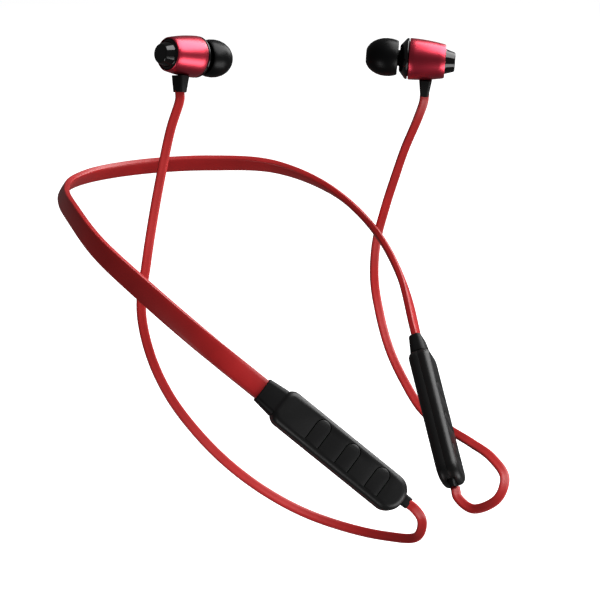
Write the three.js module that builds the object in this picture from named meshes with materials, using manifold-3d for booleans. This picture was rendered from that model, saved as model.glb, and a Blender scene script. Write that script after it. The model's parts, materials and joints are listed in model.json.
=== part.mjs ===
// Neckband earphones: a sprung U-shaped strap with a control pod at each end, and an in-ear
// earphone joined to each pod by its own flat cable.
//
// Millimetres, +Z up. The origin is the strap's centre at the nape of the neck. The arms run
// forward along -Y and down, and the wearer's left is +X. The arms are near mirror images, but the
// strap stands more upright along the right one.
import * as THREE from 'three';
import { mergeVertices } from 'three/addons/utils/BufferGeometryUtils.js';
import Module from 'manifold-3d';

const wasm = await Module();
wasm.setup();

const GAP = 0.3; // clearance between pieces that touch
const FAR = 100; // reach of a block that only has to pass everything
const BUTTONS = [1, 2, 3];

// Strap: each arm's centre line from the nape to the pod collar.
const ARM_POINTS = {
  right: [
    [-19, -6, 0.5],
    [-36.5, -21, 1],
    [-50.5, -40, 0],
    [-58.5, -60, -7],
    [-58, -80, -18],
    [-51.5, -98, -32],
    [-39.8, -114.1, -48.3],
  ],
  left: [
    [19, -6, 0.5],
    [36.5, -21, 1],
    [50.5, -40, 0],
    [58.5, -60, -7],
    [58, -80, -18],
    [51.5, -98, -32],
    [40.2, -114.3, -48.6],
  ],
};
const STRAP_WIDTH = 7.3;
const STRAP_THICKNESS = 2.5;
const STRAP_STEPS = 44;
const STRAP_TAIL = 3; // length that enters each pod collar
const LEAN_NAPE = -42; // degrees that the strap's width leans outward
const LEAN_POD = -29;
const LEAN_ARMS = {
  right: { middle: -10, changes: [10, 60], settles: [130, 160] }, // distances from the nape
  left: { middle: -57, changes: [40, 90], settles: [95, 135] },
};
const CHANNEL_OFFSET = 1.7; // wire channels either side of the strap's middle
const CHANNEL_RADIUS = 0.7;
const WIRE_RADIUS = 0.4;
const WIRE_TAIL = 9; // length that runs on into each pod

// Pods: local X runs down the pod from the strap's end, local Z is the button face's normal.
const COLLAR_LENGTH = 6.2;
const COLLAR_START = [8.6, 4.4]; // width and thickness at the strap
const COLLAR_END = [10, 6]; // width and thickness at the pod
const POD_START = COLLAR_LENGTH + GAP;
const POD_LENGTH = 52;
const POD_END = POD_START + POD_LENGTH;
const POD_WIDTH = 12.6;
const POD_THICKNESS = 7.6;
const POD_CORNERS = [3.8, 5.5]; // radius at the strap's end and at the cable's end
const POD_SHOULDER = 2.2; // rounding between the faces and the side walls
const POD_WALL = 1.2;
const BUTTON_PITCH = 12.3;
const BUTTON_FIRST = POD_START + 16.4;
const BUTTON_WIDTH = 5.2;
const BUTTON_TIP = -4.6; // across the pod, the rounded end
const BUTTON_ROOT = 4.4; // across the pod, the hinged end
const BOARD = { length: 42, width: 7.6, thickness: 0.6, bottom: 0 };
const SWITCH = { size: 3.4, height: 1.0, stem: 0.3 };
const BATTERY = { length: 30, width: 8.2, thickness: 2.0, bottom: -2.3 };
const RELIEF_OFFSET = -1.2; // the cable leaves off the pod's centre line
const RELIEF_SIZE = [4.2, 2.6];
const RELIEF_REACH = 2.1; // how far it stands out of the pod

// Left pod only, in the side wall that faces down and out.
const PORT_AT = POD_START + 12;
const LIGHT_AT = POD_START + 33;
const MICROPHONE_AT = POD_START + 40;
const PORT_LEVEL = -1.15; // below the board
const SOCKET_SIZE = [7.4, 4.6, 1.9];
const SOCKET_MOUTH = 4.4; // across the pod
const SOCKET_WALL = 0.35;
const COVER_REACH = [-5.4, 4.8]; // along the pod from the port
const COVER_THICKNESS = 0.8;
const SHIELD = { low: [POD_START + 30, -3.6, -1.9], high: [POD_START + 42, 2.4, -0.2] };

// Right pod only.
const MOTOR = { at: POD_START + 44, radius: 3.6, thickness: 1.9, level: -1.3 };

// Earphones: local X runs from the rear cap to the ear tip, local -Z down the cable boot.
const EARPHONES = [
  { side: 'right', at: [-12.6, -54.2, 50.1], yaw: -6, pitch: -10.8, roll: -8 },
  { side: 'left', at: [48.9, -110.3, 46.9], yaw: 127.3, pitch: 3.8, roll: 0 },
];
const BARREL_HALF = 6.15;
const BOOT_TOP = -7;
const BOOT_BOTTOM = -12;
const BOOT_LIP = [4.4, 5.5]; // along and across the barrel
const BOOT_TAPER = [0.64, 0.84];
const BOOT_HOLE_RADIUS = 1.8;
const LATHE_SIDES = 20;

// Cables: flat, one from each pod to its earphone.
const CABLE_SIZE = [3.2, 1.3];
const CABLE_STEPS = 36;
const CABLE_ROUTES = {
  right: [
    [-11.2, -152.4, -86.1],
    [-10.2, -153.8, -87.5],
    [-7.7, -154.9, -91.6],
    [-3.3, -149.3, -100.3],
    [-2.6, -136, -103.4],
    [-6.3, -122.5, -102.7],
    [-14, -110.1, -98.2],
    [-23.1, -100.3, -90.4],
    [-32.3, -92.2, -80.2],
    [-40.2, -85.2, -68.5],
    [-45.9, -78.5, -55.9],
    [-48.3, -72.4, -42.3],
    [-46.8, -67.2, -28.4],
    [-40.9, -64.1, -14.6],
    [-33.9, -60.7, -1.1],
    [-26.6, -57.7, 12.6],
    [-19.7, -55.7, 26.4],
    [-15.5, -56, 35.7],
    [-15.1, -55.7, 38.1],
  ],
  left: [
    [12.7, -152.9, -86.9],
    [11.2, -155.1, -89.1],
    [10.2, -162.5, -91.1],
    [13.7, -169.4, -87],
    [18.7, -168.6, -81.4],
    [24.2, -159.2, -77.8],
    [29.8, -146.3, -76.7],
    [35.4, -131.8, -76],
    [41, -116.7, -74.1],
    [48, -102.6, -67.7],
    [54.4, -90.6, -59.6],
    [59.6, -81.9, -49.6],
    [62.7, -76.7, -38.2],
    [64, -76.3, -25.4],
    [62.9, -81, -11.8],
    [58.7, -89.1, 2.2],
    [52.7, -98.2, 14.5],
    [48.4, -106.8, 26.2],
    [48.3, -109.5, 32.6],
    [48.4, -109.7, 34.6],
  ],
};

// ---------- materials ----------

const paint = (color, roughness, metalness = 0) => new THREE.MeshStandardMaterial({ color, roughness, metalness });
const redSilicone = () => paint(0xaa2022, 0.55);
const redCable = () => paint(0xc13034, 0.5);
const redAluminium = () => paint(0xcd233c, 0.3, 0.9);
const matteShell = () => paint(0x1f1f1f, 0.6);
const glossShell = () => paint(0x080808, 0.15);
const blackRubber = () => paint(0x141414, 0.7);
const springSteel = () => paint(0x9a9a9e, 0.3, 1);
const copper = () => paint(0xb87333, 0.35, 1);
const boardGreen = () => paint(0x1e5a32, 0.5);
const cellFoil = () => paint(0x8f959b, 0.4, 0.8);
const clearLens = () => paint(0xe8eef2, 0.1);

// ---------- solids: joining and cutting ----------

function toSolid(geometry) {
  const bare = geometry.clone();
  bare.deleteAttribute('normal');
  bare.deleteAttribute('uv');
  const merged = mergeVertices(bare, 1e-4);
  return new wasm.Manifold(
    new wasm.Mesh({
      numProp: 3,
      vertProperties: new Float32Array(merged.attributes.position.array),
      triVerts: new Uint32Array(merged.index.array),
    }),
  );
}

function toGeometry(solid) {
  const mesh = solid.getMesh();
  const geometry = new THREE.BufferGeometry();
  geometry.setAttribute('position', new THREE.BufferAttribute(mesh.vertProperties, 3));
  geometry.setIndex(new THREE.BufferAttribute(mesh.triVerts, 1));
  geometry.computeVertexNormals();
  return geometry;
}

const cut = (base, ...tools) => toGeometry(tools.reduce((rest, tool) => rest.subtract(toSolid(tool)), toSolid(base)));
const join = (...parts) => toGeometry(parts.map(toSolid).reduce((whole, part) => whole.add(part)));
const common = (first, second) => toGeometry(toSolid(first).intersect(toSolid(second)));

// ---------- shapes ----------

function roundedRectangle(width, height, radius) {
  const x = width / 2;
  const y = height / 2;
  const shape = new THREE.Shape();
  shape.moveTo(x - radius, -y);
  shape.absarc(x - radius, -y + radius, radius, -Math.PI / 2, 0);
  shape.absarc(x - radius, y - radius, radius, 0, Math.PI / 2);
  shape.absarc(-x + radius, y - radius, radius, Math.PI / 2, Math.PI);
  shape.absarc(-x + radius, -y + radius, radius, Math.PI, Math.PI * 1.5);
  return shape;
}

// A pod's outline along X, with a corner radius for each end.
function podOutline(inset) {
  const x = POD_LENGTH / 2 - inset;
  const y = POD_WIDTH / 2 - inset;
  const [start, end] = POD_CORNERS.map((radius) => radius - inset);
  const shape = new THREE.Shape();
  shape.moveTo(x - end, -y);
  shape.absarc(x - end, -y + end, end, -Math.PI / 2, 0);
  shape.absarc(x - end, y - end, end, 0, Math.PI / 2);
  shape.absarc(-x + start, y - start, start, Math.PI / 2, Math.PI);
  shape.absarc(-x + start, -y + start, start, Math.PI, Math.PI * 1.5);
  return shape;
}

// Corners of a regular polygon, for a small round section.
function ring(x, y, radius, sides = 6) {
  return Array.from({ length: sides }, (_, corner) => {
    const angle = (corner / sides) * Math.PI * 2;
    return new THREE.Vector2(x + radius * Math.cos(angle), y + radius * Math.sin(angle));
  });
}

// Extrudes a section over 0..1 and carries every point to where place(x, y, t) says.
function loft(section, steps, curveSegments, place) {
  const geometry = new THREE.ExtrudeGeometry(section, { depth: 1, steps, bevelEnabled: false, curveSegments });
  const position = geometry.attributes.position;
  for (let i = 0; i < position.count; i += 1) {
    const point = place(position.getX(i), position.getY(i), position.getZ(i));
    position.setXYZ(i, point.x, point.y, point.z);
  }
  return geometry;
}

// A block by its low and high corners.
function block(low, high) {
  const size = high.map((value, axis) => value - low[axis]);
  const centre = high.map((value, axis) => (value + low[axis]) / 2);
  return new THREE.BoxGeometry(...size).translate(...centre);
}

// A turned piece about local X from [x, radius] points.
function turned(points, sides = LATHE_SIDES) {
  const profile = points.map(([x, radius]) => new THREE.Vector2(radius, x));
  return new THREE.LatheGeometry(profile, sides).rotateZ(-Math.PI / 2);
}

// A turned ring: the profile closes on itself.
const turnedRing = (points, sides) => turned([...points, points[0]], sides);

// ---------- strap ----------

const strapPoints = [...ARM_POINTS.right].reverse().concat([[0, 0, 0]], ARM_POINTS.left);
const strapCurve = new THREE.CatmullRomCurve3(
  strapPoints.map((point) => new THREE.Vector3(...point)),
  false,
  'centripetal',
);
strapCurve.arcLengthDivisions = 600;
const RIGHT_LENGTH = strapCurve.getLengths()[strapCurve.arcLengthDivisions / 2];
const LEFT_LENGTH = strapCurve.getLength() - RIGHT_LENGTH;

function strapLean(distance) {
  const { middle, changes, settles } = distance < 0 ? LEAN_ARMS.right : LEAN_ARMS.left;
  const leaving = THREE.MathUtils.smoothstep(Math.abs(distance), ...changes);
  const settling = THREE.MathUtils.smoothstep(Math.abs(distance), ...settles);
  return THREE.MathUtils.degToRad(LEAN_NAPE + (middle - LEAN_NAPE) * leaving + (LEAN_POD - middle) * settling);
}

// The strap's frame at a distance from the nape, negative on the right: its centre, direction,
// upper edge and outer face.
function strapFrame(distance) {
  const inside = THREE.MathUtils.clamp(distance, -RIGHT_LENGTH, LEFT_LENGTH);
  const t = (inside + RIGHT_LENGTH) / (RIGHT_LENGTH + LEFT_LENGTH);
  const along = strapCurve.getTangentAt(t);
  const centre = strapCurve.getPointAt(t).addScaledVector(along, distance - inside);
  const upright = new THREE.Vector3(0, 0, 1).addScaledVector(along, -along.z).normalize();
  const outward = new THREE.Vector3().crossVectors(upright, along);
  const lean = strapLean(distance);
  const edge = upright.clone().multiplyScalar(Math.cos(lean)).addScaledVector(outward, Math.sin(lean));
  const face = new THREE.Vector3().crossVectors(along, edge).negate();
  return { centre, along, edge, face };
}

// A section carried along the whole strap and past both ends by a tail.
function alongStrap(section, tail, curveSegments) {
  return loft(section, STRAP_STEPS, curveSegments, (x, y, t) => {
    const distance = THREE.MathUtils.lerp(-RIGHT_LENGTH - tail, LEFT_LENGTH + tail, t);
    const { centre, edge, face } = strapFrame(distance);
    return centre.addScaledVector(edge, -x).addScaledVector(face, y);
  });
}

function strapBody() {
  const section = roundedRectangle(STRAP_WIDTH, STRAP_THICKNESS, 1.1);
  [-CHANNEL_OFFSET, CHANNEL_OFFSET].forEach((offset) => {
    section.holes.push(new THREE.Path(ring(offset, 0, CHANNEL_RADIUS)));
  });
  return alongStrap(section, STRAP_TAIL, 1);
}

function strapWire(offset) {
  return alongStrap(new THREE.Shape(ring(offset, 0, WIRE_RADIUS)), WIRE_TAIL, 1);
}

// ---------- pods ----------

// The pod's outer form, shrunk by an inset, from its rounded outline and rounded shoulders.
function podForm(inset) {
  const shoulder = POD_SHOULDER - inset * 0.6;
  const depth = POD_THICKNESS - 2 * inset - 2 * shoulder;
  const geometry = new THREE.ExtrudeGeometry(podOutline(inset), {
    depth,
    bevelThickness: shoulder,
    bevelSize: shoulder,
    bevelOffset: -shoulder,
    bevelSegments: 3,
    curveSegments: 3,
  });
  return geometry.translate((POD_START + POD_END) / 2, 0, -depth / 2);
}

// A button's outline: straight sides from the hinged root to a round tip.
function buttonOutline(grow) {
  const half = BUTTON_WIDTH / 2 + grow;
  const tip = BUTTON_TIP - grow + half;
  const shape = new THREE.Shape();
  shape.moveTo(half, BUTTON_ROOT + grow);
  shape.lineTo(-half, BUTTON_ROOT + grow);
  shape.absarc(0, tip, half, Math.PI, Math.PI * 2);
  shape.closePath();
  return shape;
}

function buttonBlock(number, grow, bottom, top) {
  const solid = new THREE.ExtrudeGeometry(buttonOutline(grow), {
    depth: top - bottom,
    bevelEnabled: false,
    curveSegments: 8,
  });
  return solid.translate(BUTTON_FIRST + (number - 1) * BUTTON_PITCH, 0, bottom);
}

function podShell(isFront, hasPort) {
  const hollow = cut(podForm(0), podForm(POD_WALL));
  const half = isFront ? block([0, -FAR, GAP / 2], [FAR, FAR, FAR]) : block([0, -FAR, -FAR], [FAR, FAR, -GAP / 2]);
  const openings = [
    block([POD_START - 1, -3, -1], [POD_START + 2, 3, 1]),
    block(
      [POD_END - 4, RELIEF_OFFSET - RELIEF_SIZE[0] / 2 - GAP, -RELIEF_SIZE[1] / 2 - GAP],
      [POD_END + 1, RELIEF_OFFSET + RELIEF_SIZE[0] / 2 + GAP, RELIEF_SIZE[1] / 2 + GAP],
    ),
  ];
  if (isFront) {
    openings.push(...BUTTONS.map((number) => buttonBlock(number, GAP, 1, POD_THICKNESS)));
  }
  if (hasPort) {
    openings.push(
      block(
        [PORT_AT - 4, POD_WIDTH / 2 - 2, PORT_LEVEL - 1.25],
        [PORT_AT + 4, POD_WIDTH / 2 + 1, PORT_LEVEL + 1.25],
      ),
      sideHole(LIGHT_AT, 1.1),
      sideHole(MICROPHONE_AT, 0.6),
    );
  }
  return cut(common(hollow, half), ...openings);
}

const sideHole = (x, radius) => sideDisc(x, radius, POD_WIDTH / 2 - 2, POD_WIDTH / 2 + 1);

// A short cylinder along local Y in the pod's side wall.
function sideDisc(x, radius, from, to) {
  return new THREE.CylinderGeometry(radius, radius, to - from, 16).translate(x, (from + to) / 2, 0);
}

function podCollar() {
  const section = roundedRectangle(...COLLAR_START, 1.9);
  const [startWidth, startThickness] = COLLAR_START;
  const [endWidth, endThickness] = COLLAR_END;
  const body = loft(section, 3, 2, (x, y, t) => {
    const wide = THREE.MathUtils.lerp(1, endWidth / startWidth, Math.sqrt(t));
    const thick = THREE.MathUtils.lerp(1, endThickness / startThickness, Math.sqrt(t));
    return new THREE.Vector3(t * COLLAR_LENGTH, x * wide, y * thick);
  });
  const half = [STRAP_WIDTH / 2 + GAP, STRAP_THICKNESS / 2 + GAP];
  const pocket = block([-1, -half[0], -half[1]], [STRAP_TAIL + GAP, half[0], half[1]]);
  return cut(body, pocket, block([0, -3, -1], [COLLAR_LENGTH + 1, 3, 1]));
}

function podButton(number) {
  const cap = common(buttonBlock(number, 0, 1, POD_THICKNESS), cut(podForm(0), podForm(POD_WALL)));
  const x = BUTTON_FIRST + (number - 1) * BUTTON_PITCH;
  const post = new THREE.CylinderGeometry(0.9, 0.9, 0.6, 12).rotateX(Math.PI / 2);
  const faceInside = POD_THICKNESS / 2 - POD_WALL;
  return join(cap, post.translate(x, 0, faceInside));
}

function podSwitch(number) {
  const x = BUTTON_FIRST + (number - 1) * BUTTON_PITCH;
  const half = SWITCH.size / 2;
  const bottom = BOARD.bottom + BOARD.thickness + 0.1;
  const top = bottom + SWITCH.height;
  const stem = new THREE.CylinderGeometry(0.8, 0.8, 2 * SWITCH.stem, 12).rotateX(Math.PI / 2);
  return join(block([x - half, -half, bottom], [x + half, half, top]), stem.translate(x, 0, top));
}

function podBoard() {
  const start = POD_START + 6;
  const half = BOARD.width / 2;
  return block([start, -half, BOARD.bottom], [start + BOARD.length, half, BOARD.bottom + BOARD.thickness]);
}

function cableRelief() {
  const section = roundedRectangle(...RELIEF_SIZE, 1.2);
  const start = POD_END - POD_WALL - 1;
  const length = POD_END + RELIEF_REACH - start;
  return loft(section, 4, 2, (x, y, t) => {
    const size = t < 0.5 ? 1 : 1.18 - 0.36 * t;
    return new THREE.Vector3(start + t * length, RELIEF_OFFSET + x * size, y * size);
  });
}

function battery() {
  const outline = roundedRectangle(BATTERY.length, BATTERY.width, 1);
  const cell = new THREE.ExtrudeGeometry(outline, { depth: BATTERY.thickness, bevelEnabled: false, curveSegments: 3 });
  return cell.translate(POD_START + 24, 0, BATTERY.bottom);
}

function chargingSocket() {
  const [length, depth, height] = SOCKET_SIZE;
  const low = [PORT_AT - length / 2, SOCKET_MOUTH - depth, PORT_LEVEL - height / 2];
  const high = [PORT_AT + length / 2, SOCKET_MOUTH, PORT_LEVEL + height / 2];
  const room = block(
    low.map((value) => value + SOCKET_WALL),
    [high[0] - SOCKET_WALL, SOCKET_MOUTH + 1, high[2] - SOCKET_WALL],
  );
  return cut(block(low, high), room);
}

function portCover() {
  const outside = POD_WIDTH / 2 + GAP;
  const flapHalf = 1.6;
  const plugHalf = 0.9;
  const flap = block(
    [PORT_AT + COVER_REACH[0], outside, PORT_LEVEL - flapHalf],
    [PORT_AT + COVER_REACH[1], outside + COVER_THICKNESS, PORT_LEVEL + flapHalf],
  );
  const plug = block(
    [PORT_AT - 3.2, outside - 1.5, PORT_LEVEL - plugHalf],
    [PORT_AT + 3.2, outside + 0.2, PORT_LEVEL + plugHalf],
  );
  return join(flap, plug);
}

function vibrationMotor() {
  const { at, radius, thickness, level } = MOTOR;
  return new THREE.CylinderGeometry(radius, radius, thickness, 20).rotateX(Math.PI / 2).translate(at, 0, level);
}

function podPieces(side) {
  const hasPort = side === 'left';
  const pieces = [
    [`${side}_pod_collar`, podCollar(), blackRubber()],
    [`${side}_pod_front_shell`, podShell(true, hasPort), matteShell()],
    [`${side}_pod_back_shell`, podShell(false, hasPort), matteShell()],
    [`${side}_board`, podBoard(), boardGreen()],
    [`${side}_cable_relief`, cableRelief(), blackRubber()],
  ];
  BUTTONS.forEach((number) => {
    pieces.push([`${side}_button_${number}`, podButton(number), matteShell()]);
    pieces.push([`${side}_switch_${number}`, podSwitch(number), springSteel()]);
  });
  if (hasPort) {
    pieces.push(
      ['charging_socket', chargingSocket(), springSteel()],
      ['port_cover', portCover(), blackRubber()],
      ['radio_shield', block(SHIELD.low, SHIELD.high), springSteel()],
      ['status_light', sideDisc(LIGHT_AT, 0.8, POD_WIDTH / 2 - 1.6, POD_WIDTH / 2), clearLens()],
      ['microphone', sideDisc(MICROPHONE_AT, 1.8, 4.1, POD_WIDTH / 2 - POD_WALL - GAP), springSteel()],
    );
  } else {
    pieces.push(['battery', battery(), cellFoil()], ['vibration_motor', vibrationMotor(), springSteel()]);
  }
  return pieces;
}

// ---------- earphones ----------

function barrel() {
  const tube = turnedRing([
    [-BARREL_HALF, 5.3],
    [-5.75, 5.8],
    [-2, 6.45],
    [2, 6.9],
    [5.8, 7.05],
    [BARREL_HALF, 6.85],
    [BARREL_HALF, 6.2],
    [1.5, 6.2],
    [1.5, 5.2],
    [-5.6, 5.2],
  ]);
  const hole = new THREE.CylinderGeometry(BOOT_HOLE_RADIUS, BOOT_HOLE_RADIUS, 4, 16).rotateX(Math.PI / 2);
  return cut(tube, hole.translate(0, 0, -6));
}

const rearCap = () =>
  turned([
    [-9.45, 0],
    [-9.45, 2.9],
    [-9.1, 3.3],
    [-6.2, 4.15],
    [-5.95, 4.4],
    [-5.8, 4.9],
    [-4.4, 4.9],
    [-4.4, 0],
  ]);

const frontHousing = () =>
  turnedRing([
    [4.2, 5.4],
    [4.2, 5.9],
    [6.45, 5.9],
    [6.45, 6.75],
    [6.9, 7],
    [9.2, 4.4],
    [9.2, 2.7],
    [13.6, 2.7],
    [13.8, 3],
    [14.4, 2.9],
    [14.4, 2],
    [8.4, 2],
    [6.6, 5.4],
  ]);

const driver = () =>
  turned([
    [1.8, 0],
    [1.8, 4.9],
    [4.2, 4.9],
    [4.2, 0],
  ]);

const diaphragm = () =>
  turned([
    [4.5, 0],
    [4.5, 4.9],
    [4.9, 4.9],
    [5.4, 2.4],
    [5.6, 0],
  ]);

const nozzleMesh = () =>
  turned([
    [13.2, 0],
    [13.2, 1.7],
    [13.6, 1.7],
    [13.6, 0],
  ], 16);

const earTip = () =>
  turnedRing([
    [9.9, 5.7],
    [11.6, 6.25],
    [13.8, 6.45],
    [16.4, 6.0],
    [18.6, 4.9],
    [20.2, 3.3],
    [20.75, 2],
    [20.3, 1.6],
    [15.2, 1.6],
    [14.9, 3.3],
    [10, 3.3],
    [10, 4.1],
    [16, 4.1],
    [16, 5.1],
    [13.6, 5.6],
    [10.2, 5.2],
  ]);

function cableBoot() {
  const section = roundedRectangle(...BOOT_LIP, 1.4);
  const skirt = loft(section, 3, 2, (x, y, t) => {
    const [slim, narrow] = BOOT_TAPER.map((size) => THREE.MathUtils.lerp(1, size, t));
    return new THREE.Vector3(x * slim, y * narrow, THREE.MathUtils.lerp(BOOT_TOP, BOOT_BOTTOM, t));
  });
  const radius = BOOT_HOLE_RADIUS - GAP;
  const neck = new THREE.CylinderGeometry(radius, radius, 2.5, 12).rotateX(Math.PI / 2).translate(0, 0, BOOT_TOP + 0.9);
  return join(flip(skirt), neck);
}

// Turns a surface inside out, for a loft that runs against its section's normal.
function flip(geometry) {
  const flipped = geometry.clone();
  const position = flipped.attributes.position;
  const first = new THREE.Vector3();
  const third = new THREE.Vector3();
  for (let i = 0; i < position.count; i += 3) {
    first.fromBufferAttribute(position, i);
    third.fromBufferAttribute(position, i + 2);
    position.setXYZ(i, third.x, third.y, third.z);
    position.setXYZ(i + 2, first.x, first.y, first.z);
  }
  return flipped;
}

const earphonePieces = (side) => [
  [`${side}_barrel`, barrel(), redAluminium()],
  [`${side}_rear_cap`, rearCap(), glossShell()],
  [`${side}_front_housing`, frontHousing(), glossShell()],
  [`${side}_driver`, driver(), springSteel()],
  [`${side}_diaphragm`, diaphragm(), copper()],
  [`${side}_nozzle_mesh`, nozzleMesh(), springSteel()],
  [`${side}_ear_tip`, earTip(), blackRubber()],
  [`${side}_cable_boot`, cableBoot(), blackRubber()],
];

// ---------- cables ----------

function cable(route) {
  const curve = new THREE.CatmullRomCurve3(route.map((point) => new THREE.Vector3(...point)), false, 'centripetal');
  const [width, thickness] = CABLE_SIZE;
  const section = new THREE.Shape();
  section.absellipse(0, 0, thickness / 2, width / 2, 0, Math.PI * 2);
  return new THREE.ExtrudeGeometry(section, { steps: CABLE_STEPS, curveSegments: 4, extrudePath: curve });
}

// ---------- assembly ----------

function addPieces(group, pieces) {
  pieces.forEach(([name, geometry, material]) => {
    const mesh = new THREE.Mesh(geometry, material);
    mesh.name = name;
    group.add(mesh);
  });
  return group;
}

// Each pod runs on from its arm's end; the right one comes out as a mirror image.
function podGroup(side) {
  const isLeft = side === 'left';
  const { centre, along, edge, face } = strapFrame(isLeft ? LEFT_LENGTH : -RIGHT_LENGTH);
  const down = isLeft ? along : along.negate();
  const pod = addPieces(new THREE.Group(), podPieces(side));
  pod.applyMatrix4(new THREE.Matrix4().makeBasis(down, edge.negate(), face).setPosition(centre));
  return pod;
}

function earphoneGroup({ side, at, yaw, pitch, roll }) {
  const earphone = addPieces(new THREE.Group(), earphonePieces(side));
  const [rollAngle, pitchAngle, yawAngle] = [roll, -pitch, yaw].map(THREE.MathUtils.degToRad);
  earphone.rotation.set(rollAngle, pitchAngle, yawAngle, 'ZYX');
  earphone.position.set(...at);
  return earphone;
}

const group = new THREE.Group();
addPieces(group, [
  ['strap', strapBody(), redSilicone()],
  ['strap_spring_wire', strapWire(-CHANNEL_OFFSET), springSteel()],
  ['strap_signal_wire', strapWire(CHANNEL_OFFSET), copper()],
  ['right_cable', cable(CABLE_ROUTES.right), redCable()],
  ['left_cable', cable(CABLE_ROUTES.left), redCable()],
]);
group.add(podGroup('right'), podGroup('left'), ...EARPHONES.map(earphoneGroup));

export default group;
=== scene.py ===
import bpy
import bmesh
from math import cos, sin, pi, radians, sqrt
from mathutils import Matrix, Vector
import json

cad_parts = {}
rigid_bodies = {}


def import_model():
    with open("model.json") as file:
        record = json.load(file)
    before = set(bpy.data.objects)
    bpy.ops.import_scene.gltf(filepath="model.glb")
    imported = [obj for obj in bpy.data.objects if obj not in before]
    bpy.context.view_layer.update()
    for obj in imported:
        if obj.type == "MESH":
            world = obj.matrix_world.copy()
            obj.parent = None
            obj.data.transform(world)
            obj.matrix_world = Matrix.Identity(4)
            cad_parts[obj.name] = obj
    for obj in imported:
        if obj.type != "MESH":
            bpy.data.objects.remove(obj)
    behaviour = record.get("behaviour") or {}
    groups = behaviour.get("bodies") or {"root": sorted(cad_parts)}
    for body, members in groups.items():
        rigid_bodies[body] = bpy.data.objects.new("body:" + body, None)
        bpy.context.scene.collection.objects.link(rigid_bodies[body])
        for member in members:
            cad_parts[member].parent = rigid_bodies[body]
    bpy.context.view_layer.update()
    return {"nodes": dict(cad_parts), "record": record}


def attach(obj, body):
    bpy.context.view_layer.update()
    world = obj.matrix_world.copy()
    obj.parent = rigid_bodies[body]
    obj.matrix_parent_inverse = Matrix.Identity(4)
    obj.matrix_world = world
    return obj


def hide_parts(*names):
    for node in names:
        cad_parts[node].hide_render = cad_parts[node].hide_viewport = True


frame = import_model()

MM = 0.001


# ---------------------------------------------------------------------------
# Camera and colour. A long lens a little above the set, from its front right,
# so that the near pod's face and the far pod's edge both show.
# ---------------------------------------------------------------------------

look_at = Vector((29.7, -70, -40.3)) * MM
camera_distance = 0.9
camera_azimuth = radians(-49)
camera_elevation = radians(15)
camera_side = Vector((
    sin(camera_azimuth) * cos(camera_elevation),
    -cos(camera_azimuth) * cos(camera_elevation),
    sin(camera_elevation),
))

camera = bpy.data.objects.new("camera", bpy.data.cameras.new("camera"))
bpy.context.collection.objects.link(camera)
camera.location = look_at + camera_side * camera_distance
camera.rotation_euler = (-camera_side).to_track_quat("-Z", "Y").to_euler()
camera.data.lens = 153.6
camera.data.sensor_width = 36
camera.data.clip_start = 0.01
bpy.context.scene.camera = camera
bpy.context.scene.view_settings.view_transform = "Standard"


# ---------------------------------------------------------------------------
# Cables. Each earphone hangs on its own flat cable: a soft red jacket with
# rounded edges, moulded over two pairs of wires, so the broad faces have a
# shallow valley between the pairs.
# ---------------------------------------------------------------------------

cable_width = 3.2 * MM
cable_thickness = 1.3 * MM
cable_into_relief = 0.5 * MM
cable_into_boot = 0.8 * MM
cable_steps = 10
right_route = [
    (-11.2, -152.4, -86.1), (-10.2, -153.8, -87.5), (-7.7, -154.9, -91.6), (-3.3, -149.3, -100.3),
    (-2.6, -136, -103.4), (-6.3, -122.5, -102.7), (-14, -110.1, -98.2), (-23.1, -100.3, -90.4),
    (-32.3, -92.2, -80.2), (-40.2, -85.2, -68.5), (-45.9, -78.5, -55.9), (-48.3, -72.4, -42.3),
    (-46.8, -67.2, -28.4), (-40.9, -64.1, -14.6), (-33.9, -60.7, -1.1), (-26.6, -57.7, 12.6),
    (-19.7, -55.7, 26.4), (-15.5, -56, 35.7), (-15.1, -55.7, 38.1),
]
left_route = [
    (12.7, -152.9, -86.9), (11.2, -155.1, -89.1), (10.2, -162.5, -91.1), (13.7, -169.4, -87),
    (18.7, -168.6, -81.4), (24.2, -159.2, -77.8), (29.8, -146.3, -76.7), (35.4, -131.8, -76),
    (41, -116.7, -74.1), (48, -102.6, -67.7), (54.4, -90.6, -59.6), (59.6, -81.9, -49.6),
    (62.7, -76.7, -38.2), (64, -76.3, -25.4), (62.9, -81, -11.8), (58.7, -89.1, 2.2),
    (52.7, -98.2, 14.5), (48.4, -106.8, 26.2), (48.3, -109.5, 32.6), (48.4, -109.7, 34.6),
]


def smooth_line(points, steps):
    """Points along a centripetal Catmull-Rom curve through the route, a few steps to each span."""
    knots = [Vector(p) for p in points]
    ends = [2 * knots[0] - knots[1]] + knots + [2 * knots[-1] - knots[-2]]
    line = []
    for before, a, b, after in zip(ends, ends[1:], ends[2:], ends[3:]):
        gaps = [sqrt((q - p).length) for p, q in ((before, a), (a, b), (b, after))]
        slope_a = ((a - before) / gaps[0] - (b - before) / (gaps[0] + gaps[1]) + (b - a) / gaps[1]) * gaps[1]
        slope_b = ((b - a) / gaps[1] - (after - a) / (gaps[1] + gaps[2]) + (after - b) / gaps[2]) * gaps[1]
        for step in range(steps):
            t = step / steps
            line.append(
                a * (2 * t**3 - 3 * t**2 + 1) + slope_a * (t**3 - 2 * t**2 + t)
                + b * (3 * t**2 - 2 * t**3) + slope_b * (t**3 - t**2)
            )
    return line + [knots[-1]]


def distances(line):
    run = [0.0]
    for p, q in zip(line, line[1:]):
        run.append(run[-1] + (q - p).length)
    return run


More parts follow.
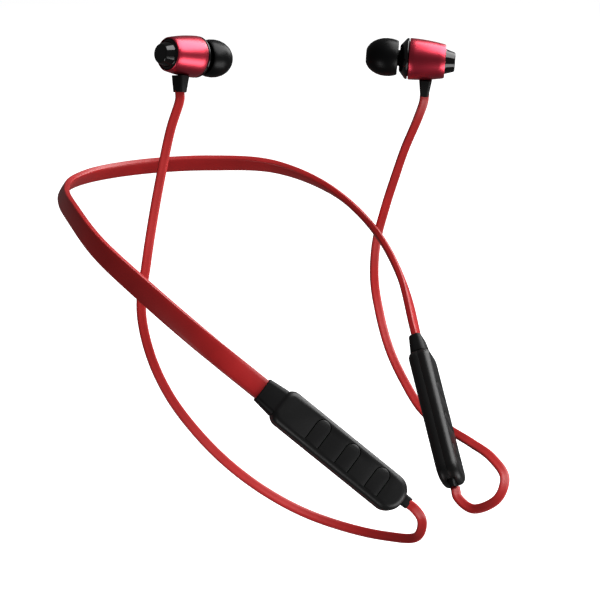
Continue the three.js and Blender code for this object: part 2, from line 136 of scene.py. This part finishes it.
def swept(name, line, outline_at, facing_at):
    """A closed skin swept along a line: outline_at gives the section, (across, out) pairs, and
    facing_at the way its outer face looks, both from the share of the length run so far."""
    run = distances(line)
    mesh = bmesh.new()
    rings = []
    for i, point in enumerate(line):
        share = run[i] / run[-1]
        along = (line[min(i + 1, len(line) - 1)] - line[max(i - 1, 0)]).normalized()
        out = facing_at(share)
        out = (out - along * out.dot(along)).normalized()
        across = along.cross(out)
        rings.append([mesh.verts.new(point + across * x + out * y) for x, y in outline_at(share)])
    sides = len(rings[0])
    for a, b in zip(rings, rings[1:]):
        for k in range(sides):
            mesh.faces.new((a[k], a[(k + 1) % sides], b[(k + 1) % sides], b[k]))
    mesh.faces.new(rings[0])
    mesh.faces.new(rings[-1])
    bmesh.ops.recalc_face_normals(mesh, faces=mesh.faces)
    data = bpy.data.meshes.new(name)
    mesh.to_mesh(data)
    mesh.free()
    piece = bpy.data.objects.new(name, data)
    bpy.context.collection.objects.link(piece)
    smooth(piece, 40)
    return piece


def choose(*pieces):
    """Makes these the whole selection and the first of them active."""
    for other in bpy.context.view_layer.objects:
        other.select_set(False)
    for piece in pieces:
        piece.select_set(True)
    bpy.context.view_layer.objects.active = pieces[0]


def smooth(piece, angle):
    choose(piece)
    bpy.ops.object.shade_smooth_by_angle(angle=radians(angle))


def mix(a, b, t):
    """Eases from a to b as t goes from 0 to 1."""
    t = min(max(t, 0), 1)
    t = t * t * (3 - 2 * t)
    return a * (1 - t) + b * t


def cable_outline(share):
    """A flat section: round edges, and a shallow valley down the middle of each broad face."""
    points = []
    for k in range(28):
        angle = 2 * pi * k / 28
        wide = abs(cos(angle)) ** 0.62 * (1 if cos(angle) >= 0 else -1)
        thick = abs(sin(angle)) ** 0.5 * (1 if sin(angle) >= 0 else -1)
        valley = 1 - 0.16 * max(0, 1 - abs(wide) / 0.4) ** 2
        points.append((wide * cable_width / 2, thick * valley * cable_thickness / 2))
    return points


def surface(name, colour, roughness, grain, depth, variation=0.1, metallic=0.0, specular=0.5):
    """A moulded finish: fine grain in the surface, and a slow drift of tone and gloss across it."""
    material = bpy.data.materials.new(name)
    material.use_nodes = True
    nodes = material.node_tree.nodes
    links = material.node_tree.links
    shader = nodes["Principled BSDF"]
    shader.inputs["Metallic"].default_value = metallic
    shader.inputs["Specular IOR Level"].default_value = specular
    place = nodes.new("ShaderNodeTexCoord")
    drift = nodes.new("ShaderNodeTexNoise")
    drift.inputs["Scale"].default_value = 90
    drift.inputs["Detail"].default_value = 4
    tone = nodes.new("ShaderNodeValToRGB")
    tone.color_ramp.elements[0].position = 0.3
    tone.color_ramp.elements[1].position = 0.7
    tone.color_ramp.elements[0].color = (*[c * (1 - variation) for c in colour], 1)
    tone.color_ramp.elements[1].color = (*[min(1, c * (1 + variation)) for c in colour], 1)
    gloss = nodes.new("ShaderNodeMapRange")
    gloss.inputs["To Min"].default_value = roughness * 0.9
    gloss.inputs["To Max"].default_value = min(1, roughness * 1.1)
    texture = nodes.new("ShaderNodeTexNoise")
    texture.inputs["Scale"].default_value = 1 / grain
    texture.inputs["Detail"].default_value = 3
    bump = nodes.new("ShaderNodeBump")
    bump.inputs["Strength"].default_value = 0.6
    bump.inputs["Distance"].default_value = depth
    links.new(place.outputs["Object"], drift.inputs["Vector"])
    links.new(place.outputs["Object"], texture.inputs["Vector"])
    links.new(drift.outputs["Fac"], tone.inputs["Fac"])
    links.new(tone.outputs["Color"], shader.inputs["Base Color"])
    links.new(drift.outputs["Fac"], gloss.inputs["Value"])
    links.new(gloss.outputs["Result"], shader.inputs["Roughness"])
    links.new(texture.outputs["Fac"], bump.inputs["Height"])
    links.new(bump.outputs["Normal"], shader.inputs["Normal"])
    return material


def coat(piece, material):
    piece.data.materials.clear()
    piece.data.materials.append(material)


cable_jacket = surface("cable_jacket", (0.56, 0.022, 0.022), 0.42, 0.0004, 0.00002)


def hang_cable(side, route, facings):
    line = [p * MM for p in smooth_line(route, cable_steps)]
    line[0] += (line[0] - line[1]).normalized() * cable_into_relief
    line[-1] += (line[-1] - line[-2]).normalized() * cable_into_boot
    middle = len(facings) - 1

    def facing(share):
        place = share * middle
        stage = min(int(place), middle - 1)
        return mix(Vector(facings[stage]), Vector(facings[stage + 1]), place - stage)

    piece = swept(f"{side}_flat_cable", line, cable_outline, facing)
    coat(piece, cable_jacket)
    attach(piece, "neckband")
    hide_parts(f"{side}_cable")


right_facings = [(-0.7, -0.6, 0.35), (-0.5, -0.6, 0.6), (-0.65, -0.75, 0.1), (-0.7, -0.7, 0.1)]
left_facings = [(-0.5, -0.6, 0.4), (-0.6, -0.5, 0.6), (-0.6, -0.75, 0.2), (-0.5, -0.85, 0.1)]
hang_cable("right", right_route, right_facings)
hang_cable("left", left_route, left_facings)



# ---------------------------------------------------------------------------
# Strap. One red silicone band with crisp edges, moulded flat over a spring
# wire that holds its arch. Its width leans out round the neck and over the
# shoulders, and its ends run into the pod collars.
# ---------------------------------------------------------------------------

right_arm = [(-19, -6, 0.5), (-36.5, -21, 1), (-50.5, -40, 0), (-58.5, -60, -7), (-58, -80, -18),
             (-51.5, -98, -32), (-39.8, -114.1, -48.3)]
left_arm = [(19, -6, 0.5), (36.5, -21, 1), (50.5, -40, 0), (58.5, -60, -7), (58, -80, -18),
            (51.5, -98, -32), (40.2, -114.3, -48.6)]
strap_width = 7.3 * MM
strap_thickness = 2.5 * MM
strap_tail = 2.8 * MM
strap_steps = 14


def strap_lean(distance):
    """How far the band's upper edge leans, at millimetres from the nape, negative on the right."""
    run = abs(distance)
    if distance < 0:
        lean = mix(-42, -10, (run - 10) / 50) + mix(0, -19, (run - 130) / 30)
    else:
        lean = mix(-42, -57, (run - 40) / 50) + mix(0, 28, (run - 95) / 40)
    return radians(lean)


def leaning(along, lean):
    """The band's upper edge and outer face, where it runs along this way and leans so."""
    upright = (Vector((0, 0, 1)) - along * along.z).normalized()
    outward = upright.cross(along)
    edge = upright * cos(lean) + outward * sin(lean)
    return edge, edge.cross(along)


strap_route = right_arm[::-1] + [(0, 0, 0)] + left_arm
strap_line = [p * MM for p in smooth_line(strap_route, strap_steps)]
strap_run = distances(strap_line)
nape_run = strap_run[strap_steps * len(right_arm)]
right_tail = strap_line[0] + (strap_line[0] - strap_line[1]).normalized() * strap_tail
left_tail = strap_line[-1] + (strap_line[-1] - strap_line[-2]).normalized() * strap_tail
band_line = [right_tail] + strap_line + [left_tail]
band_run = distances(band_line)


def band_facing(share):
    run = share * band_run[-1]
    i = min(range(len(band_run)), key=lambda k: abs(band_run[k] - run))
    along = (band_line[min(i + 1, len(band_line) - 1)] - band_line[max(i - 1, 0)]).normalized()
    return leaning(along, strap_lean((run - strap_tail - nape_run) / MM))[1]


def band_outline(share):
    """A flat bar with small round corners and gently crowned broad faces."""
    corner = 0.5 * MM
    crown = 0.3 * MM
    flat = strap_thickness / 2 - 0.22 * MM
    stations = (0.8, 0.6, 0.4, 0.2, 0, -0.2, -0.4, -0.6, -0.8)
    points = []
    for turn, (sx, sy) in enumerate(((1, 1), (-1, 1), (-1, -1), (1, -1))):
        for k in range(7):
            angle = pi / 2 * (turn + k / 6)
            points.append((
                sx * (strap_width / 2 - corner) + corner * cos(angle),
                sy * (flat - corner) + corner * sin(angle),
            ))
        if turn % 2 == 0:
            for x in stations:
                points.append((sx * x * strap_width / 2, sy * (flat + crown * (1 - x * x))))
    return points


band_silicone = surface("band_silicone", (0.48, 0.015, 0.016), 0.36, 0.0003, 0.000012)
band = swept("strap_band", band_line, band_outline, band_facing)
coat(band, band_silicone)
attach(band, "neckband")
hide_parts("strap")


# ---------------------------------------------------------------------------
# Pods. Two thin black mouldings, front and back, snap together round the
# electronics. The corners are full and the shoulders well rounded. The fine
# matte grain comes from the spark-eroded tool.
# ---------------------------------------------------------------------------

pod_start = 6.5 * MM
pod_length = 52 * MM
pod_end = pod_start + pod_length
pod_width = 12.6 * MM
pod_thickness = 7.6 * MM
pod_start_corner = 3.8 * MM
pod_end_corner = 5.5 * MM
pod_shoulder = 2.3 * MM
pod_wall = 1.2 * MM
seam = 0.03 * MM
nearly = 0.001 * MM


def pod_matrix(end, along, edge, face):
    """A pod's place: X down the pod from the strap's end, Z out of its button face."""
    columns = (along, -edge, face, end)
    return Matrix([[column[row] for column in columns] for row in range(3)] + [[0, 0, 0, 1]])


left_along = (strap_line[-1] - strap_line[-2]).normalized()
left_lean = strap_lean((strap_run[-1] - nape_run) / MM)
right_along = (strap_line[0] - strap_line[1]).normalized()
right_lean = strap_lean(-nape_run / MM)
pod_places = {
    "left": pod_matrix(strap_line[-1], left_along, *leaning(left_along, left_lean)),
    "right": pod_matrix(strap_line[0], right_along, *leaning(-right_along, right_lean)),
}


def edit(piece):
    choose(piece)
    bpy.ops.object.mode_set(mode="EDIT")
    bpy.ops.mesh.select_all(action="DESELECT")


def done():
    bpy.ops.object.mode_set(mode="OBJECT")


def pick(piece, kind, test):
    """Selects the vertices, edges or faces of the piece in hand that pass a test on their middle."""
    bpy.context.tool_settings.mesh_select_mode = (kind == "verts", kind == "edges", kind == "faces")
    shape = bmesh.from_edit_mesh(piece.data)
    for item in shape.verts[:] + shape.edges[:] + shape.faces[:]:
        item.select_set(False)
    for item in getattr(shape, kind):
        middle = item.co if kind == "verts" else sum((v.co for v in item.verts), Vector()) / len(item.verts)
        if test(middle, item):
            item.select_set(True)
    shape.select_flush_mode()
    bmesh.update_edit_mesh(piece.data)


def bar(name, low, high):
    """A cube primitive stretched between two corners, its place in its mesh."""
    choose_none()
    bpy.ops.mesh.primitive_cube_add(size=1)
    piece = bpy.context.object
    piece.name = name
    piece.location = [(a + b) / 2 for a, b in zip(low, high)]
    piece.scale = [b - a for a, b in zip(low, high)]
    bake(piece)
    return piece


def choose_none():
    for other in bpy.context.view_layer.objects:
        other.select_set(False)


def bake(piece):
    choose(piece)
    bpy.ops.object.transform_apply(location=True, rotation=True, scale=True)


def apply(piece, kind, **settings):
    """Adds one modifier with these settings and applies it."""
    choose(piece)
    modifier = piece.modifiers.new(kind.lower(), kind)
    for key, value in settings.items():
        setattr(modifier, key, value)
    bpy.ops.object.modifier_apply(modifier=modifier.name)


def cut_by(piece, *tools, keep=False):
    for tool in tools:
        apply(piece, "BOOLEAN", operation="DIFFERENCE", object=tool, solver="EXACT")
    if not keep:
        for tool in tools:
            bpy.data.objects.remove(tool)


def break_edges(piece, width, segments=2, angle=38):
    apply(piece, "BEVEL", width=width, segments=segments, limit_method="ANGLE", angle_limit=radians(angle),
          harden_normals=False)


def twin(piece, name):
    copy = piece.copy()
    copy.data = piece.data.copy()
    copy.name = name
    bpy.context.collection.objects.link(copy)
    return copy


def put(piece, place):
    piece.matrix_world = place
    bake(piece)


def put_right(piece):
    """Sets a piece in the right pod, whose place is a mirror image, and turns its skin outward again."""
    put(piece, pod_places["right"])
    edit(piece)
    bpy.ops.mesh.select_all(action="SELECT")
    bpy.ops.mesh.flip_normals()
    done()


def pair(piece, right_name):
    """Sets a piece in the left pod and its mirrored twin in the right one."""
    other = twin(piece, right_name)
    put(piece, pod_places["left"])
    put_right(other)
    return other


def pod_form(name):
    low = (pod_start, -pod_width / 2, -pod_thickness / 2)
    high = (pod_end, pod_width / 2, pod_thickness / 2)
    block = bar(name, low, high)
    edit(block)
    pick(block, "edges", lambda m, e: abs(m.z) < nearly and m.x < (pod_start + pod_end) / 2)
    bpy.ops.mesh.bevel(offset=pod_start_corner, segments=10, affect="EDGES")
    pick(block, "edges", lambda m, e: abs(m.z) < nearly and m.x > pod_end - nearly and abs(m.y) > 1 * MM)
    bpy.ops.mesh.bevel(offset=pod_end_corner, segments=16, affect="EDGES")
    pick(block, "edges", lambda m, e: abs(abs(m.z) - pod_thickness / 2) < nearly)
    bpy.ops.mesh.bevel(offset=pod_shoulder, segments=9, affect="EDGES")
    done()
    return block


def half_shell(name, front):
    shell = pod_form(name)
    edit(shell)
    bpy.ops.mesh.select_all(action="SELECT")
    side = 1 if front else -1
    bpy.ops.mesh.bisect(plane_co=(0, 0, side * seam), plane_no=(0, 0, side), clear_inner=True)
    done()
    apply(shell, "SOLIDIFY", thickness=pod_wall, offset=-1, use_even_offset=True, use_rim=True)
    return shell


button_first = pod_start + 16.4 * MM
button_pitch = 12.3 * MM
button_half = 2.5 * MM
button_tip = -4.6 * MM
button_root = 4.44 * MM
slot_side = 0.3 * MM
slot_root = 0.08 * MM


def tongue(name, half, tip, root, low, high, at):
    """A tongue-shaped block: a cylinder whose far half is drawn out straight to the root."""
    choose_none()
    middle = (at, tip + half, (low + high) / 2)
    bpy.ops.mesh.primitive_cylinder_add(vertices=64, radius=half, depth=high - low, location=middle)
    block = bpy.context.object
    block.name = name
    bake(block)
    edit(block)
    pick(block, "verts", lambda m, v: m.y > tip + half + nearly)
    bpy.ops.transform.resize(value=(1, 0, 1), center_override=(at, root, 0))
    done()
    return block


def slot_tool(number):
    at = button_first + (number - 1) * button_pitch
    tip = button_tip - slot_side
    return tongue("slot_tool", button_half + slot_side, tip, button_root + slot_root, 1 * MM, 5 * MM, at)


def side_hole(at, radius):
    choose_none()
    bpy.ops.mesh.primitive_cylinder_add(
        vertices=32, radius=radius, depth=4 * MM, location=(at, pod_width / 2, 0), rotation=(pi / 2, 0, 0))
    hole = bpy.context.object
    bake(hole)
    return hole


def wire_way():
    return bar("wire_way", (pod_start - 1 * MM, -3 * MM, -1 * MM), (pod_start + 2 * MM, 3 * MM, 1 * MM))


relief_across = -1.2 * MM
relief_half = 2.15 * MM


def relief_way():
    low = (pod_end - 4 * MM, relief_across - relief_half, -1.4 * MM)
    high = (pod_end + 1 * MM, relief_across + relief_half, 1.4 * MM)
    return bar("relief_way", low, high)


shell_black = surface("shell_black", (0.006, 0.006, 0.0062), 0.4, 0.00022, 0.000018, 0.12, specular=0.4)
port_at = pod_start + 12 * MM
port_level = -1.15 * MM
port_half = 4 * MM
port_rise = 1.25 * MM
light_at = pod_start + 33 * MM
light_radius = 0.95 * MM
microphone_at = pod_start + 40 * MM
microphone_radius = 0.5 * MM

front_shell = half_shell("left_front_moulding", True)
back_shell = half_shell("left_back_moulding", False)
tongue_stock = twin(front_shell, "tongue_stock")
cut_by(front_shell, wire_way(), relief_way(), *[slot_tool(number) for number in (1, 2, 3)])
cut_by(back_shell, wire_way(), relief_way())
right_front = twin(front_shell, "right_front_moulding")
right_back = twin(back_shell, "right_back_moulding")
for shell in (front_shell, back_shell):
    low = (port_at - port_half, pod_width / 2 - 2 * MM, port_level - port_rise)
    high = (port_at + port_half, pod_width / 2 + 1 * MM, port_level + port_rise)
    port = bar("port_hole", low, high)
    cut_by(shell, port, side_hole(light_at, light_radius), side_hole(microphone_at, microphone_radius))

for piece in (front_shell, back_shell, right_front, right_back):
    break_edges(piece, 0.05 * MM)
    smooth(piece, 35)
    coat(piece, shell_black)
for piece in (front_shell, back_shell):
    put(piece, pod_places["left"])
for piece in (right_front, right_back):
    put_right(piece)
for side, front, back in (("left", front_shell, back_shell), ("right", right_front, right_back)):
    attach(front, "neckband")
    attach(back, "neckband")
    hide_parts(f"{side}_pod_front_shell")
    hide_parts(f"{side}_pod_back_shell")


# ---------------------------------------------------------------------------
# Buttons. Three tongues to a pod, cut free of the front moulding by a narrow
# slot round the tip and sides, and bending at the root when pressed.
# ---------------------------------------------------------------------------

button_black = surface("button_black", (0.0064, 0.0064, 0.0066), 0.38, 0.00022, 0.000018, 0.12, specular=0.42)
for number in (1, 2, 3):
    at = button_first + (number - 1) * button_pitch
    cap = twin(tongue_stock, f"left_tongue_{number}")
    blank = tongue("tongue_blank", button_half, button_tip, button_root, 1.6 * MM, 5 * MM, at)
    apply(cap, "BOOLEAN", operation="INTERSECT", object=blank, solver="EXACT")
    bpy.data.objects.remove(blank)
    break_edges(cap, 0.06 * MM)
    smooth(cap, 35)
    coat(cap, button_black)
    right_cap = pair(cap, f"right_tongue_{number}")
    for side, piece in (("left", cap), ("right", right_cap)):
        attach(piece, f"{side}_button_{number}")
        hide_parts(f"{side}_button_{number}")
bpy.data.objects.remove(tongue_stock)


# ---------------------------------------------------------------------------
# Collars and reliefs. Black rubber sleeves overmoulded on the strap's ends,
# flaring to meet the pods, and a small grommet at each pod's lower end where
# the cable comes out.
# ---------------------------------------------------------------------------

black_rubber = surface("black_rubber", (0.004, 0.004, 0.0042), 0.5, 0.0005, 0.00002, 0.1, specular=0.22)


def sleeve(name, start, end, sizes, centre, corner):
    """A rounded bar along the pod's axis whose ends have different widths and thicknesses."""
    (w0, t0), (w1, t1) = sizes
    body = bar(name, (start, centre - w0 / 2, -t0 / 2), (end, centre + w0 / 2, t0 / 2))
    edit(body)
    pick(body, "edges", lambda m, e: start + nearly < m.x < end - nearly)
    bpy.ops.mesh.bevel(offset=corner, segments=8, affect="EDGES")
    pick(body, "faces", lambda m, f: abs(m.x - end) < nearly)
    bpy.ops.transform.resize(value=(1, w1 / w0, t1 / t0), center_override=(end, centre, 0))
    done()
    return body


collar_sizes = ((8.5 * MM, 4.3 * MM), (10.1 * MM, 5.9 * MM))
collar_grip = 0.8 * MM
relief_sizes = ((4.1 * MM, 2.6 * MM), (3.9 * MM, 2.1 * MM))
relief_end = pod_end + 2.35 * MM
seat_half = 1.7 * MM
seat_rise = 0.75 * MM
seat_depth = 0.75 * MM

collar = sleeve("left_collar_sleeve", 0, pod_start + collar_grip, collar_sizes, 0, 1.5 * MM)
break_edges(collar, 0.3 * MM, 4)
cut_by(collar, bar("pocket", (-1 * MM, -3.8 * MM, -1.4 * MM), (3.1 * MM, 3.8 * MM, 1.4 * MM)))
relief = sleeve("left_relief_grommet", pod_end - 1.8 * MM, relief_end, relief_sizes, relief_across, 0.9 * MM)
seat_low = (relief_end - seat_depth, relief_across - seat_half, -seat_rise)
seat_high = (pod_end + 4 * MM, relief_across + seat_half, seat_rise)
cut_by(relief, bar("cable_seat", seat_low, seat_high))
break_edges(relief, 0.15 * MM, 3)
for piece, right_name, node in ((collar, "right_collar_sleeve", "pod_collar"),
                                (relief, "right_relief_grommet", "cable_relief")):
    smooth(piece, 40)
    coat(piece, black_rubber)
    other = pair(piece, right_name)
    for side, one in (("left", piece), ("right", other)):
        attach(one, "neckband")
        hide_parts(f"{side}_{node}")


# ---------------------------------------------------------------------------
# Port cover. A soft rubber flap on the left pod's outer side wall, with a plug
# on its inner face that presses into the charging port behind it. It folds
# back on its own short tether.
# ---------------------------------------------------------------------------

cover_out = pod_width / 2 + 0.25 * MM
cover_top = cover_out + 0.85 * MM
cover_half = 1.6 * MM
cover_low = (port_at - 5.4 * MM, cover_out, port_level - cover_half)
cover_high = (port_at + 4.8 * MM, cover_top, port_level + cover_half)
plug_margin = 0.7 * MM
plug_depth = 1.3 * MM

cover = bar("port_flap", cover_low, cover_high)
edit(cover)
pick(cover, "edges", lambda m, e: cover_out + nearly < m.y < cover_top - nearly)
bpy.ops.mesh.bevel(offset=1.3 * MM, segments=6, affect="EDGES")
pick(cover, "faces", lambda m, f: abs(m.y - cover_out) < nearly)
bpy.ops.mesh.inset(thickness=plug_margin)
bpy.ops.mesh.extrude_region_move(TRANSFORM_OT_translate={"value": (0, -plug_depth, 0)})
done()
break_edges(cover, 0.22 * MM, 3)
smooth(cover, 40)
coat(cover, black_rubber)
put(cover, pod_places["left"])
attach(cover, "port_cover")
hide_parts("port_cover")


# ---------------------------------------------------------------------------
# Earphones. A red anodised barrel is turned from bar, tapering to the back.
# A gloss black cap is pressed into its rear rim and a gloss black nose cone
# into its front, with a soft silicone tip on the nozzle.
# ---------------------------------------------------------------------------

def turned(name, profile, closed=False, sides=96):
    """Extrudes a circle from one (place, radius) to the next along its axis, then lays it on local X."""
    choose_none()
    place, radius = profile[0]
    fill = "NOTHING" if closed else "NGON"
    centre = (0, 0, place * MM)
    bpy.ops.mesh.primitive_circle_add(vertices=sides, radius=radius * MM, location=centre, fill_type=fill)
    piece = bpy.context.object
    piece.name = name
    bake(piece)
    choose(piece)
    bpy.ops.object.mode_set(mode="EDIT")
    bpy.ops.mesh.select_mode(type="EDGE")
    bpy.ops.mesh.select_all(action="SELECT")
    stations = profile[1:] + (profile[:1] if closed else [])
    for to_place, to_radius in stations:
        rise = (to_place - place) * MM
        bpy.ops.mesh.extrude_region_move(TRANSFORM_OT_translate={"value": (0, 0, rise)})
        grow = to_radius / radius
        bpy.ops.transform.resize(value=(grow, grow, 1), center_override=(0, 0, 0))
        place, radius = to_place, to_radius
    bpy.ops.mesh.select_all(action="SELECT")
    bpy.ops.mesh.remove_doubles(threshold=1e-6)
    bpy.ops.mesh.normals_make_consistent(inside=False)
    done()
    piece.rotation_euler = (0, pi / 2, 0)
    bake(piece)
    return piece


def arc(centre, radius, start, end, steps):
    """Points of a round stretch of a profile, by its centre (place, radius) and two angles."""
    return [(centre[0] + radius * cos(radians(start + (end - start) * k / steps)),
             centre[1] + radius * sin(radians(start + (end - start) * k / steps))) for k in range(steps + 1)]


barrel_profile = [(-6.15, 5.35), (-6.1, 5.5), (-5.7, 5.8), (-4, 6.12), (-2, 6.45), (0, 6.7), (2, 6.88),
                  (4, 7.0), (5.8, 7.05), (6.15, 6.9), (6.15, 6.2), (1.5, 6.2), (1.5, 5.25), (-5.9, 5.25)]
cap_profile = [(-9.45, 2.6), *arc((-8.75, 2.7), 0.7, 180, 110, 5), (-6.4, 4.15), (-6.1, 4.3), (-5.95, 4.55),
               (-5.85, 5.1), (-4.6, 5.1), (-4.6, 1)]
nose_profile = [(4.2, 5.4), (4.2, 5.9), (6.4, 5.9), (6.4, 6.7), (6.55, 6.95), (6.9, 7.0), (7.3, 6.75),
                (9.2, 4.5), (9.35, 4.1), (9.35, 2.7), (13.6, 2.7), (13.8, 2.95), (14.4, 2.9), (14.4, 2),
                (8.4, 2), (6.6, 5.4)]
tip_profile = [(9.9, 5.65), (10.8, 6.05), (12.2, 6.35), (13.8, 6.45), (15.4, 6.3), (17, 5.85), (18.4, 5.15),
               (19.5, 4.25), (20.3, 3.2), (20.7, 2.3), (20.75, 1.9), (20.5, 1.62), (20, 1.6), (15.2, 1.6),
               (14.9, 3.3), (10, 3.3), (10, 4.1), (16, 4.1), (16.2, 4.9), (13.6, 5.75), (10.2, 5.35)]


def anodised():
    """Bead-blasted, dyed and sealed aluminium: a soft satin metal under a thin clear seal."""
    material = surface("anodised_red", (0.68, 0.024, 0.06), 0.36, 0.0002, 0.000004, 0.05, metallic=1.0)
    shader = material.node_tree.nodes["Principled BSDF"]
    shader.inputs["Coat Weight"].default_value = 0.8
    shader.inputs["Coat Roughness"].default_value = 0.3
    return material


anodised_red = anodised()
polished_black = surface("polished_black", (0.004, 0.004, 0.004), 0.09, 0.002, 0.000002, 0.1)
tip_silicone = surface("tip_silicone", (0.0025, 0.0025, 0.0027), 0.34, 0.0004, 0.00001, 0.1, specular=0.16)

barrel = turned("barrel_shell", barrel_profile, closed=True)
cap = turned("cap_plug", cap_profile)
nose = turned("nose_cone", nose_profile, closed=True)
tip = turned("tip_dome", tip_profile, closed=True)

boot_half = (2.2 * MM, 2.75 * MM)
boot_bottom = -12.3 * MM
boot_top = -6.7 * MM
boot_taper = (0.64, 0.84, 1)

boot = bar("boot_sleeve", (-boot_half[0], -boot_half[1], boot_bottom), (*boot_half, boot_top))
edit(boot)
pick(boot, "edges", lambda m, e: boot_bottom + nearly < m.z < boot_top - nearly)
bpy.ops.mesh.bevel(offset=1.2 * MM, segments=8, affect="EDGES")
pick(boot, "faces", lambda m, f: m.z < boot_bottom + nearly)
bpy.ops.transform.resize(value=boot_taper, center_override=(0, 0, 0))
done()
cut_by(boot, bar("cable_seat", (-0.75 * MM, -1.75 * MM, -13 * MM), (0.75 * MM, 1.75 * MM, -11.4 * MM)))
break_edges(boot, 0.14 * MM, 3)
smooth(boot, 40)

for piece, edge in ((barrel, 0.12), (cap, 0.15), (nose, 0.12), (tip, 0.15)):
    break_edges(piece, edge * MM, 3, 32)
    smooth(piece, 30)

earphone_places = {
    "right": ((-12.6, -54.2, 50.1), -6, -10.8, -8),
    "left": ((48.9, -110.3, 46.9), 127.3, 3.8, 0),
}
earphone_pieces = (
    (barrel, "barrel_shell", "barrel", anodised_red, "red_anodised"),
    (cap, "cap_plug", "rear_cap", polished_black, "gloss_shell"),
    (nose, "nose_cone", "front_housing", polished_black, "gloss_shell"),
    (tip, "tip_dome", "ear_tip", tip_silicone, "ear_tip"),
    (boot, "boot_sleeve", "cable_boot", black_rubber, "black_rubber"),
)
for side, (at, yaw, pitch, roll) in earphone_places.items():
    heading = Matrix.Rotation(radians(yaw), 4, "Z") @ Matrix.Rotation(radians(-pitch), 4, "Y")
    place = Matrix.Translation(Vector(at) * MM) @ heading @ Matrix.Rotation(radians(roll), 4, "X")
    for piece, name, node, material, finish in earphone_pieces:
        copy = twin(piece, f"{side}_{name}")
        put(copy, place)
        coat(copy, material)
        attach(copy, f"{side}_ear_tip" if node == "ear_tip" else "neckband")
        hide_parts(f"{side}_{node}")
for piece, *_ in earphone_pieces:
    bpy.data.objects.remove(piece)


# ---------------------------------------------------------------------------
# Inside pieces. Boards, switches, cell, motor, drivers and wires stay as they
# were designed, and only get their finishes.
# ---------------------------------------------------------------------------

inside_finishes = {
    "steel": surface("stamped_steel", (0.5, 0.5, 0.52), 0.3, 0.0003, 0.000005, 0.08, metallic=1.0),
    "copper": surface("bright_copper", (0.72, 0.36, 0.2), 0.3, 0.0003, 0.000005, 0.08, metallic=1.0),
    "board": surface("solder_mask", (0.012, 0.1, 0.035), 0.4, 0.0005, 0.00001, 0.2),
    "cell_foil": surface("cell_wrap", (0.45, 0.47, 0.5), 0.4, 0.001, 0.00003, 0.08, metallic=0.7),
    "lens": surface("light_lens", (0.75, 0.8, 0.85), 0.12, 0.001, 0.000003, 0.03),
}
for row in frame["record"]["subparts"]:
    finish = inside_finishes.get(row["material_slot"])
    if finish:
        node = frame["nodes"][row["node"]]
        node.data.materials.clear()
        node.data.materials.append(finish)


# ---------------------------------------------------------------------------
# Room: a pale floor, a wide soft light overhead and to the front right, a low
# one in front that stands for the bright floor, and two weak ones at the sides.
# ---------------------------------------------------------------------------

floor_level = -0.125
choose_none()
bpy.ops.mesh.primitive_plane_add(size=12, location=(0, 0, floor_level))
floor = bpy.context.object
floor.name = "floor"
bake(floor)
floor_paint = surface("floor_paint", (0.85, 0.85, 0.85), 0.8, 0.004, 0.0001, 0.01)
floor_shader = floor_paint.node_tree.nodes["Principled BSDF"]
floor_shader.inputs["Emission Color"].default_value = (1, 1, 1, 1)
floor_shader.inputs["Emission Strength"].default_value = 0.75
floor.data.materials.append(floor_paint)
floor.visible_diffuse = False
floor.visible_glossy = False
floor.visible_shadow = False


def softbox(name, place, aim, width, height, power):
    light = bpy.data.objects.new(name, bpy.data.lights.new(name, "AREA"))
    bpy.context.collection.objects.link(light)
    light.data.shape = "RECTANGLE"
    light.data.size = width
    light.data.size_y = height
    light.data.energy = power
    light.location = place
    light.rotation_euler = (Vector(aim) - Vector(place)).to_track_quat("-Z", "Y").to_euler()


centre = Vector((0, -0.08, -0.02))
softbox("overhead", centre + Vector((0.45, -0.35, 0.75)), centre, 1.1, 0.8, 15)
softbox("front_low", centre + Vector((0.2, -0.85, -0.42)), centre, 0.9, 0.45, 6)
softbox("far_side", centre + Vector((0.95, 0, 0.35)), centre, 0.5, 0.4, 2.2)
softbox("low_strip", centre + Vector((-0.75, -0.1, -0.5)), centre, 0.16, 0.5, 1.3)

world = bpy.data.worlds.new("room")
bpy.context.scene.world = world
world.use_nodes = True
background = world.node_tree.nodes["Background"]
background.inputs["Color"].default_value = (1, 1, 1, 1)
background.inputs["Strength"].default_value = 0.09
